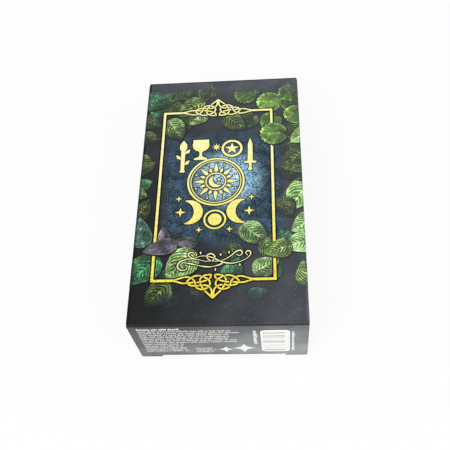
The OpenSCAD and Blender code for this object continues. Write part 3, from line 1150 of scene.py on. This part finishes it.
# Each leaf: kind, base point, heading in degrees, length, brightness, bend in degrees
TOP_LEAVES = [
    ("netted", -14, 57, 200, 13, 0.5, 20), ("scalloped", -6, 52, 110, 8.0, 0.4, 0),
    ("fine", -30, 41, 75, 12, 0.5, -20), ("fine", -38, 50, 20, 16, 1.2, 25),
    ("netted", -21, 51, 245, 12, 0.5, 20), ("netted", -37, 41, -30, 11, 0.7, 20),
    ("netted", -8, 49.5, 214, 15, 1.1, 25), ("netted", -16, 40, -100, 10, 0.4, 20),
    ("bright", -25, 39, -62, 14, 0.8, -25), ("netted", -37, 31, -18, 10, 0.7, 20),
    ("netted", 12, 44, 235, 12, 0.5, -20), ("netted", 2, 41, -42, 13, 1.2, 25),
    ("bright", -7, 43, 222, 11, 0.75, 20), ("netted", 16, 40, 245, 8, 0.7, 10),
]
RIGHT_LEAVES = [
    ("netted", 37, 58, 205, 12, 0.5, 10), ("fine", 18, 58, 205, 11, 0.7, 0),
    ("scalloped", 14, 55, 215, 9.5, 0.7, 0), ("scalloped", 31, 44, 75, 9.5, 0.4, 0),
    ("scalloped", 33, 50, 120, 9.0, 0.6, 0), ("netted", 38, 36, 235, 14, 0.45, 20),
    ("scalloped", 26, 47, 168, 10.5, 1.1, 0), ("scalloped", 37, 38, 150, 9.5, 0.75, 0),
    ("netted", 30, 24, -70, 12, 0.4, 20), ("bright", 41, 30, 212, 12, 1.7, 20),
    ("netted", 36, 19, 235, 14, 0.6, 20), ("scalloped", 25, 39, 225, 9.0, 0.8, 0),
    ("netted", 26, 11, -40, 12, 0.45, -20), ("netted", 40, 14, 205, 12, 0.7, -20),
]
LOW_RIGHT_LEAVES = [
    ("bright", 39, 2, 236, 17, 2.0, 20), ("netted", 27, -5, -72, 11, 0.7, 20),
    ("bright", 40, -14, 218, 13, 1.5, -20), ("fine", 24, -22, -48, 12, 0.8, 20),
    ("purple", 17, -18, 196, 13, 1.0, -15), ("bright", 39, -26, 198, 13, 1.6, 20),
    ("fine", 26, -38, 200, 13, 0.5, 20), ("bright", 10, -18, -38, 14, 1.1, 25),
    ("netted", 35, -47, 95, 12, 0.7, 20), ("netted", 18, -26, -60, 12, 1.0, -20),
    ("netted", 5, -27, -70, 12, 0.5, 20), ("fine", 3, -44, 62, 12, 0.7, 20),
    ("bright", 14, -40, 28, 12, 0.9, 20), ("teal", 12, -50, 12, 8, 0.9, 10),
]
LEFT_LEAVES = [
    ("netted", -38, 19, -40, 11, 1.0, 20), ("netted", -38, 11, 25, 10, 0.6, 20),
    ("fine", -41, -1, 28, 13, 1.1, -20), ("bright", -40, 2, -30, 10, 0.9, 20),
    ("netted", -36, -14, 60, 11, 0.4, 20), ("teal", -31, -28, 100, 15, 1.0, -15),
    ("purple", -23, -31, 92, 13, 1.1, 15), ("teal", -13, -25, 190, 9, 0.5, 20),
    ("purple", -9, -27, 172, 10, 0.9, 20), ("netted", -34, -40, 60, 12, 0.45, 20),
    ("fine", -24, -33, 226, 17, 1.15, 20), ("fine", -21, -38, -60, 11, 0.5, 20),
    ("bright", -9, -31, 226, 17, 1.15, 25), ("netted", -19, -45, 226, 14, 1.0, 20),
    ("teal", -15, -53, 170, 9, 0.9, -10), ("netted", -7, -44, 262, 9, 0.7, 20),
]
# These lie over the gold frame
FRONT_LEAVES = [
    ("purple", -17, -27, 193, 15, 1.1, 15), ("scalloped", 28, 29, 178, 11.0, 0.95, 0),
    ("netted", 30, -29, 196, 12, 1.2, 20),
]
STEMS = [
    [(28, 29), (30.5, 26.6), (34, 27), (38, 29)], [(26, 47), (28.5, 45), (29.4, 41), (31, 38)],
    [(-17, -27), (-14.5, -25.4), (-12, -26), (-9, -27)], [(39, 2), (34, 4), (30, 1), (27, -5)],
    [(-8, 50), (-5, 53), (-4.4, 57), (-6, 61)], [(18, -26), (21, -24.5), (22, -23.4), (24, -22)],
]
BACK_LEAVES = [
    ("netted", -36, 47, 20, 14, 0.8, 20), ("bright", -24, 40, -50, 13, 0.8, -20),
    ("fine", -36, 34, -10, 12, 0.7, 20), ("scalloped", 26, 48, 165, 10.5, 1.0, 0),
    ("scalloped", 34, 40, 150, 9.5, 0.7, 0), ("netted", 36, 30, 215, 13, 0.7, 20),
    ("teal", -31, -28, 100, 15, 0.9, -15), ("purple", -22, -33, 80, 12, 1.0, 15),
    ("fine", -24, -33, 226, 16, 1.0, 20), ("bright", -10, -34, 222, 15, 1.0, 25),
    ("bright", 38, -22, 205, 14, 1.1, 20), ("netted", 20, -28, -50, 13, 0.9, -20),
    ("bright", 34, -42, 130, 13, 1.0, 20), ("fine", 14, -44, 40, 12, 0.8, 20),
]


def add_front_leaves(material, stem):
    clusters = {"top": TOP_LEAVES, "right": RIGHT_LEAVES, "lower_right": LOW_RIGHT_LEAVES,
                "left": LEFT_LEAVES, "over_frame": FRONT_LEAVES}
    for name, rows in clusters.items():
        sheet = LeafSheet(over_fold, OVER_FRAME if name == "over_frame" else LEAF_BASE)
        for row in rows:
            sheet.leaf(*row)
        sheet.finish("front_leaves_" + name, material, "carton")
    stems = Sheet(over_fold)
    for points in STEMS:
        stems.ribbon(*stroke(smooth_path(points), STEM_WIDTH), *STEM_LEVELS)
    stems.finish("front_stems", stem, "carton")


def add_back_leaves(material):
    sheet = LeafSheet(on_back, LEAF_BASE, back_fade, back_tone)
    for row in BACK_LEAVES:
        sheet.leaf(*row)
    sheet.finish("back_leaves", material, "carton", fold=False, edge=34.4)


# Print on the near end: left edge, top and spacing of its lines, gaps of letters and words

TEXT_LEFT = -32.0
TEXT_TOP = 30.0
LINE_STEP = 1.98
LETTER_GAP = 0.16
WORD_GAP = 0.45


def bar(sheet, x0, x1, z0, z1, high=INK_T):
    sheet.prism([(x0, z0), (x1, z0), (x1, z1), (x0, z1)], 0.0, high)


def add_words(sheet, chance, start, end, base, tall, turned=False):
    """A line of plain blocks grouped like words, along x or, turned, up the face."""
    at = start
    while at < end - 0.8:
        for _ in range(chance.randint(2, 8)):
            wide = chance.uniform(0.36, 0.72)
            high = tall * chance.choice((0.72, 0.72, 0.8, 1.0))
            if at + wide < end:
                if turned:
                    bar(sheet, base, base + high, at, at + wide)
                else:
                    bar(sheet, at, at + wide, base, base + high)
            at += wide + LETTER_GAP
        at += WORD_GAP


def add_end_print(pale, white, grey, dark):
    """Lines of blocks, two stars, and a label with bars."""
    chance = random.Random(8)
    lines = Sheet(on_bottom_end)
    for k in range(1, 13):
        end = 7.5 + chance.uniform(-4.0, 2.0)
        if k > 7:
            end = -14.0 + chance.uniform(-3.0, 1.0)
        add_words(lines, chance, TEXT_LEFT, end, TEXT_TOP - LINE_STEP * k, 1.35)
    for k in range(3):
        add_words(lines, chance, -11.0, -3.4 + 1.4 * (k == 1), 9.0 - 2.0 * k, 1.4)
    lines.finish("end_print_lines", pale, "bottom_lid")
    edge = Sheet(on_bottom_end)
    edge.prism(rounded(16.1, 28.3, 4.2, 29.4, 2.2), 0.0, INK_T / 2)
    edge.finish("end_label_edge", dark, "bottom_lid")
    label = Sheet(on_bottom_end)
    label.prism(rounded(16.3, 28.1, 4.6, 28.8, 2.0), 0.0, INK_T)
    add_words(label, chance, TEXT_LEFT, -14.6, TEXT_TOP, 1.5)
    add_words(label, chance, 14.0, 28.2, 13.5, 1.6, turned=True)
    add_words(label, chance, 6.0, 27.5, 28.75, 1.2, turned=True)
    for x, z, size in ((1.6, 8.0, 3.2), (9.2, 9.2, 4.6)):
        label.prism(star(x, z, size, 0.42 * size, 4), 0.0, INK_T)
    label.finish("end_label", white, "bottom_lid")
    bars = Sheet(on_bottom_end)
    low = 6.4
    while low < 27.0:
        tall = chance.choice((0.2, 0.3, 0.85))
        bar(bars, 17.2, 26.0, low, low + tall, 0.02)
        low += tall + chance.choice((0.8, 1.5, 2.3))
    bars.finish("end_label_bars", grey, "bottom_lid")


# Looks of the CAD nodes

def paint(node, material):
    mesh = nodes[node].data
    mesh.materials.clear()
    mesh.materials.append(material)


CARD_TINTS = {
    "major_arcana_cards": (0.26, 0.16, 0.34),
    "wands_cards": (0.50, 0.22, 0.06),
    "cups_cards": (0.08, 0.20, 0.42),
    "swords_cards": (0.30, 0.32, 0.36),
    "pentacles_cards": (0.12, 0.30, 0.10),
}


def paint_box():
    paint("front_panel", board("front_print", (0, 0, 1), True, True, front_painted_light, front_art))
    paint("back_panel", board("back_print", (0, 0, -1), True, True, art=front_art))
    paint("left_side_panel", board("left_print", (-1, 0, 0), ends=True))
    paint("right_side_panel", board("right_print", (1, 0, 0), ends=True))
    paint("glue_flap", board("glue_flap_print", (-1, 0, 0)))
    paint("top_lid", board("top_lid_print", (0, 1, 1)))
    paint("bottom_lid", board("bottom_lid_print", (0, -1, 1), haze=end_painted_light, tint=END_TINT))
    for end, way in (("top", 1), ("bottom", -1)):
        paint(end + "_tuck_tongue", board(end + "_tongue_print", (0, way, -1)))
        for side, out in (("left", -1), ("right", 1)):
            name = end + "_" + side + "_dust_flap"
            paint(name, board(name + "_print", (out, way, 1)))
    for node, tint in CARD_TINTS.items():
        paint(node, card_stock(node + "_print", tint))
    paint("booklet_cover", booklet_cover_print())
    paint("booklet_sheets", booklet_paper())
    paint("booklet_staples", staple_wire())


def build():
    bpy.context.scene.view_settings.view_transform = "Standard"
    make_camera()
    make_world()
    make_floor()
    make_lamp("key", (-0.45, -0.75, 1.1), 0.8, 9.0)
    make_lamp("fill", (0.8, -0.6, 0.8), 0.9, 4.0)
    paint_box()
    gold = gold_foil("gold_foil", (1.0, 0.90, 0.12), (1.0, 0.985, 0.54))
    dark = ink_black()
    leaf = leaf_print()
    front = Foil(on_front, base=FRAME_BASE, edge=0.55)
    add_frame(front, ART_X)
    front.finish("front_frame", gold, dark, "carton")
    middle = Foil(on_front)
    add_emblem(middle, *EMBLEM, 1.0)
    add_suits(middle)
    add_moons(middle)
    middle.finish("front_emblem", gold, dark, "carton")
    pen = Foil(on_front, base=FRAME_BASE, edge=0.5)
    add_flourish(pen)
    pen_gold = gold_foil("pale_foil", (1.0, 0.96, 0.48), (1.0, 0.98, 0.55), 0.12)
    pen.finish("front_flourish", pen_gold, dark, "carton")
    add_front_leaves(leaf, stem_print())
    back = Foil(on_back, base=FRAME_BASE)
    add_frame(back, 0.0)
    add_emblem(back, 0.0, 0.0, 1.25)
    for x, y in ((-17.0, 24.0), (17.0, 24.0), (-17.0, -24.0), (17.0, -24.0)):
        back.shape(star(x, y, 2.6, 0.85, 4))
    back.finish("back_frame", gold, dark, "carton")
    add_back_leaves(leaf)
    for name, plane in (("left", on_left), ("right", on_right)):
        side = Foil(plane, base=SIDE_BASE)
        add_moon_row(side)
        side.finish(name + "_moons", gold, dark, "carton")
    lid = Foil(on_top_end)
    add_top_ornament(lid)
    lid.finish("top_ornament", gold, dark, "top_lid")
    add_end_print(ink_pale("end_ink", (0.50, 0.50, 0.49), (0.72, 0.72, 0.70)),
                  ink_pale("label_white", (0.84, 0.84, 0.82), (0.91, 0.91, 0.89)),
                  ink_pale("label_grey", (0.36, 0.36, 0.36), (0.46, 0.46, 0.46)), dark)


build()
